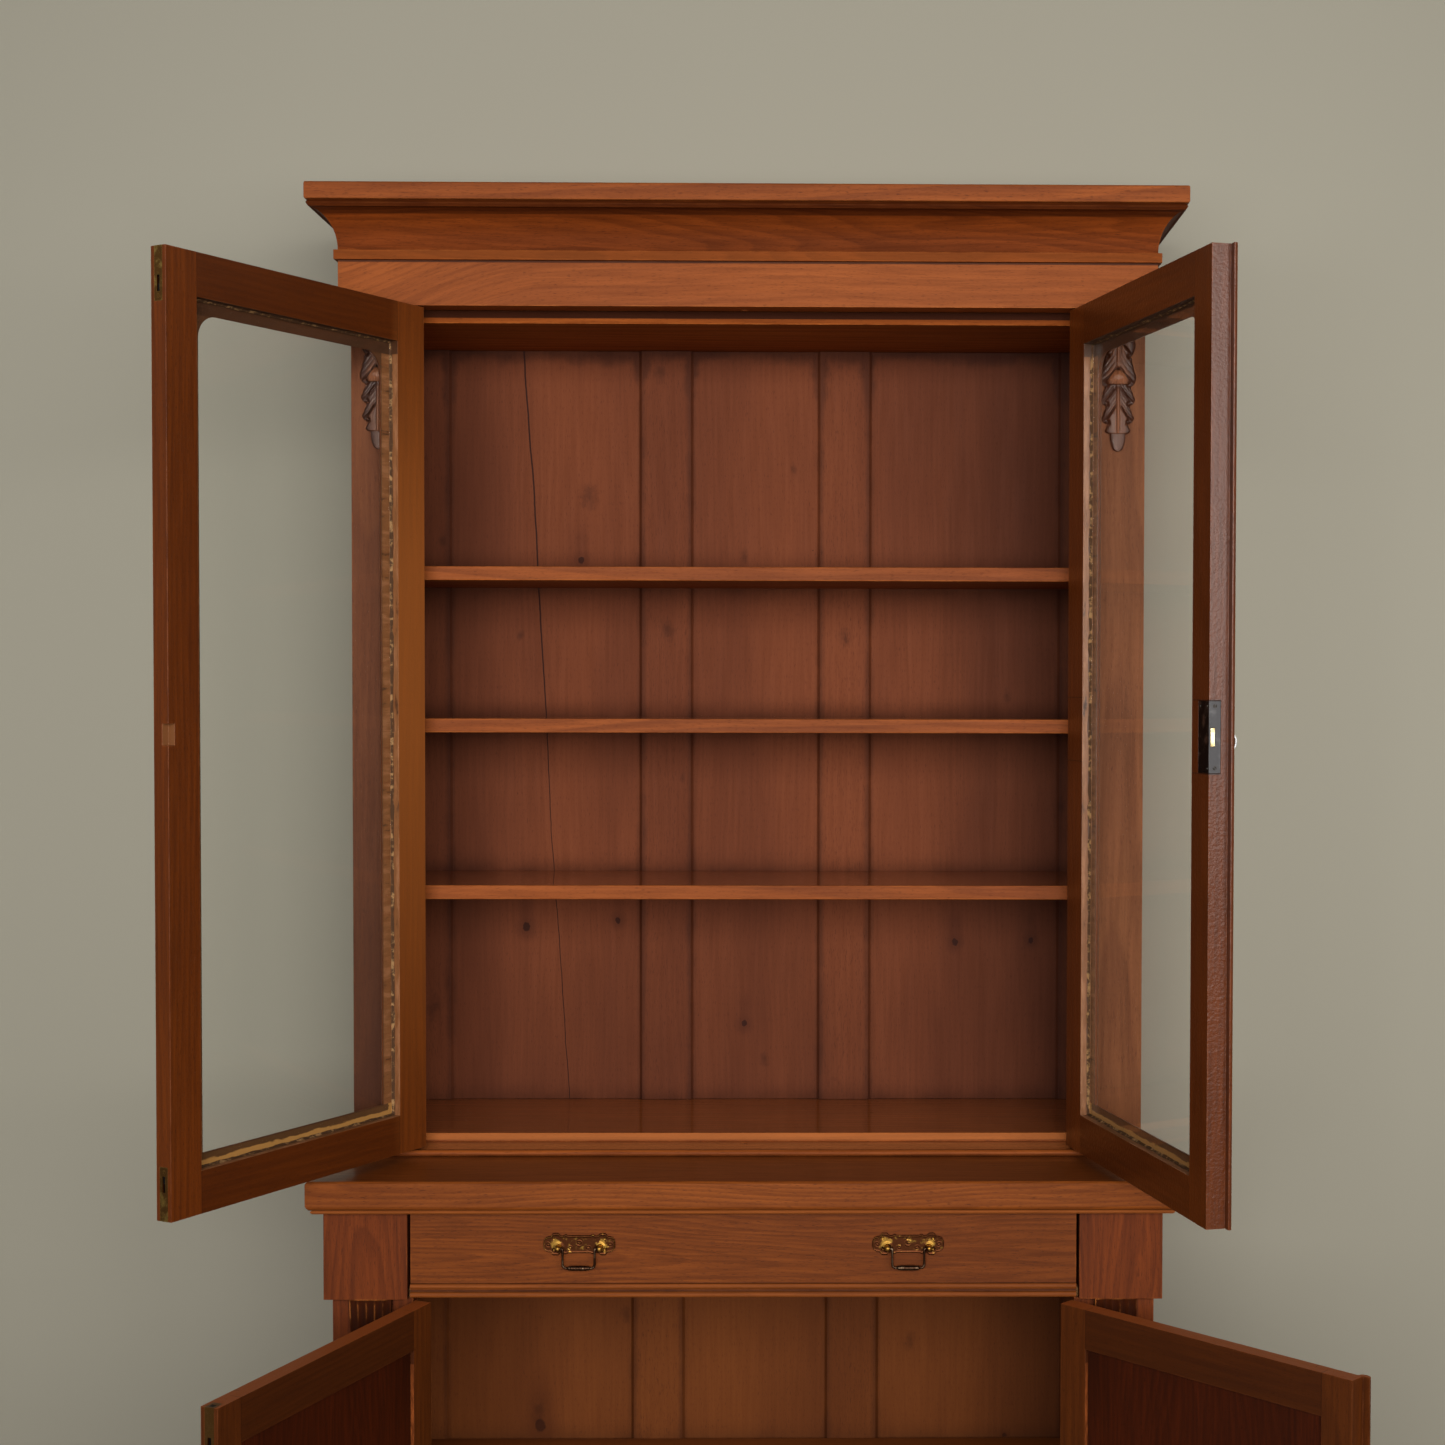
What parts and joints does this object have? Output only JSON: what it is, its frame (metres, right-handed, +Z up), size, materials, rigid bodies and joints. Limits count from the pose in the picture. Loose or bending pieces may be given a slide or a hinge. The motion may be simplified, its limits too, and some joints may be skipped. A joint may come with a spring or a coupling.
{
  "type": "glazed chiffonier bookcase",
  "caption": "Glazed bookcase with moulded cornice on a cupboard base: hinged glass doors, shelves, carved pilasters, drawer with drop handles, panelled base doors, locks and flush bolts",
  "frame": {"origin": "on the floor, midway along the back edge, where the plinth meets the wall", "axes": "+X to the right as seen from the front, +Y to the back, +Z up; the front faces -Y"},
  "size_m": [1.4618, 0.8672, 2.266],
  "materials": {
    "mahogany": "old satin varnish",
    "carving": "old satin varnish",
    "back_boards": "thin dull stain",
    "base_inside": "thin dull stain",
    "drawer_wood": "bare, aged",
    "brass": "tarnished",
    "cast_brass": "dark tarnish, worn bright",
    "steel": "dark, aged",
    "glass": "clear"
  },
  "bodies": {
    "carcass": {"cornice_cap": "mahogany", "cornice_moulding": "mahogany", "frieze": "mahogany", "upper_top_board": "mahogany", "upper_side_left": "mahogany", "upper_side_right": "mahogany", "upper_pilaster_left": "mahogany", "upper_pilaster_right": "mahogany", "leaf_drop_left": "carving", "leaf_drop_right": "carving", "upper_back": "back_boards", "upper_shelf_1": "mahogany", "upper_shelf_2": "mahogany", "upper_shelf_3": "mahogany", "upper_bottom": "mahogany", "counter_top": "mahogany", "base_side_left": "mahogany", "base_side_right": "mahogany", "base_pilaster_left": "mahogany", "base_pilaster_right": "mahogany", "corner_block_left": "mahogany", "corner_block_right": "mahogany", "base_corbel_left": "carving", "base_corbel_right": "carving", "drawer_frame": "drawer_wood", "base_back": "base_inside", "base_shelf": "base_inside", "base_floor": "base_inside", "plinth": "mahogany", "hinge_upper_left_foot": "brass", "hinge_upper_left_top": "brass", "hinge_upper_right_foot": "brass", "hinge_upper_right_top": "brass", "hinge_base_left_foot": "brass", "hinge_base_left_top": "brass", "hinge_base_right_foot": "brass", "hinge_base_right_top": "brass"},
    "upper_door_left": {"upper_door_frame_left": "mahogany", "upper_glass_left": "glass"},
    "flush_bolt_top": {"flush_bolt_upper_top": "brass"},
    "flush_bolt_foot": {"flush_bolt_upper_foot": "brass"},
    "upper_door_right": {"upper_door_frame_right": "mahogany", "upper_glass_right": "glass", "lock_case_upper": "steel"},
    "lock_bolt_upper": {"lock_bolt_upper": "brass"},
    "key": {"key": "steel"},
    "base_door_left": {"base_door_frame_left": "mahogany", "base_panel_left": "mahogany"},
    "flush_bolt_base": {"flush_bolt_base": "brass"},
    "base_door_right": {"base_door_frame_right": "mahogany", "base_panel_right": "mahogany", "lock_case_base": "steel"},
    "lock_bolt_base": {"lock_bolt_base": "brass"},
    "drawer": {"drawer_front": "mahogany", "drawer_box": "drawer_wood", "drawer_bottom": "drawer_wood", "handle_plate_left": "cast_brass", "handle_plate_right": "cast_brass"},
    "bail_left": {"handle_bail_left": "cast_brass"},
    "bail_right": {"handle_bail_right": "cast_brass"}
  },
  "joints": [
    {"name": "upper_door_left_swing", "type": "hinge", "parent": "carcass", "child": "upper_door_left", "pos_m": [-0.4761, -0.2934, 0], "axis": [0, 0, -1], "range_deg": [-118.6, 46.4]},
    {"name": "upper_door_right_swing", "type": "hinge", "parent": "carcass", "child": "upper_door_right", "pos_m": [0.4761, -0.2934, 0], "axis": [0, 0, 1], "range_deg": [-104, 61]},
    {"name": "base_door_left_swing", "type": "hinge", "parent": "carcass", "child": "base_door_left", "pos_m": [-0.4431, -0.4464, 0], "axis": [0, 0, -1], "range_deg": [-112, 53]},
    {"name": "base_door_right_swing", "type": "hinge", "parent": "carcass", "child": "base_door_right", "pos_m": [0.4431, -0.4464, 0], "axis": [0, 0, 1], "range_deg": [-135, 30]},
    {"name": "flush_bolt_top_slide", "type": "slide", "parent": "upper_door_left", "child": "flush_bolt_top", "axis": [0, 0, 1], "range_m": [0, 0.01]},
    {"name": "flush_bolt_foot_slide", "type": "slide", "parent": "upper_door_left", "child": "flush_bolt_foot", "axis": [0, 0, -1], "range_m": [0, 0.01]},
    {"name": "flush_bolt_base_slide", "type": "slide", "parent": "base_door_left", "child": "flush_bolt_base", "axis": [0, 0, 1], "range_m": [0, 0.01]},
    {"name": "key_turn", "type": "hinge", "parent": "upper_door_right", "child": "key", "pos_m": [0.58199, -0.73629, 1.509], "axis": [-0.9703, -0.2419, 0], "range_deg": [0, 180]},
    {"name": "lock_bolt_upper_slide", "type": "slide", "parent": "upper_door_right", "child": "lock_bolt_upper", "axis": [0.2419, -0.9703, 0], "range_m": [0, 0.008]},
    {"name": "lock_bolt_base_slide", "type": "slide", "parent": "base_door_right", "child": "lock_bolt_base", "axis": [0.7071, -0.7071, 0], "range_m": [0, 0.008]},
    {"name": "drawer_slide", "type": "slide", "parent": "carcass", "child": "drawer", "axis": [0, -1, 0], "range_m": [0, 0.3]},
    {"name": "bail_left_swing", "type": "hinge", "parent": "drawer", "child": "bail_left", "pos_m": [-0.22, -0.462, 0.823], "axis": [-1, 0, 0], "range_deg": [-10, 100]},
    {"name": "bail_right_swing", "type": "hinge", "parent": "drawer", "child": "bail_right", "pos_m": [0.22, -0.462, 0.823], "axis": [-1, 0, 0], "range_deg": [-10, 100]}
  ],
  "couplings": [
    {"joint": "key_turn", "follows": "lock_bolt_upper_slide", "rad_per_m": 392.69}
  ]
}
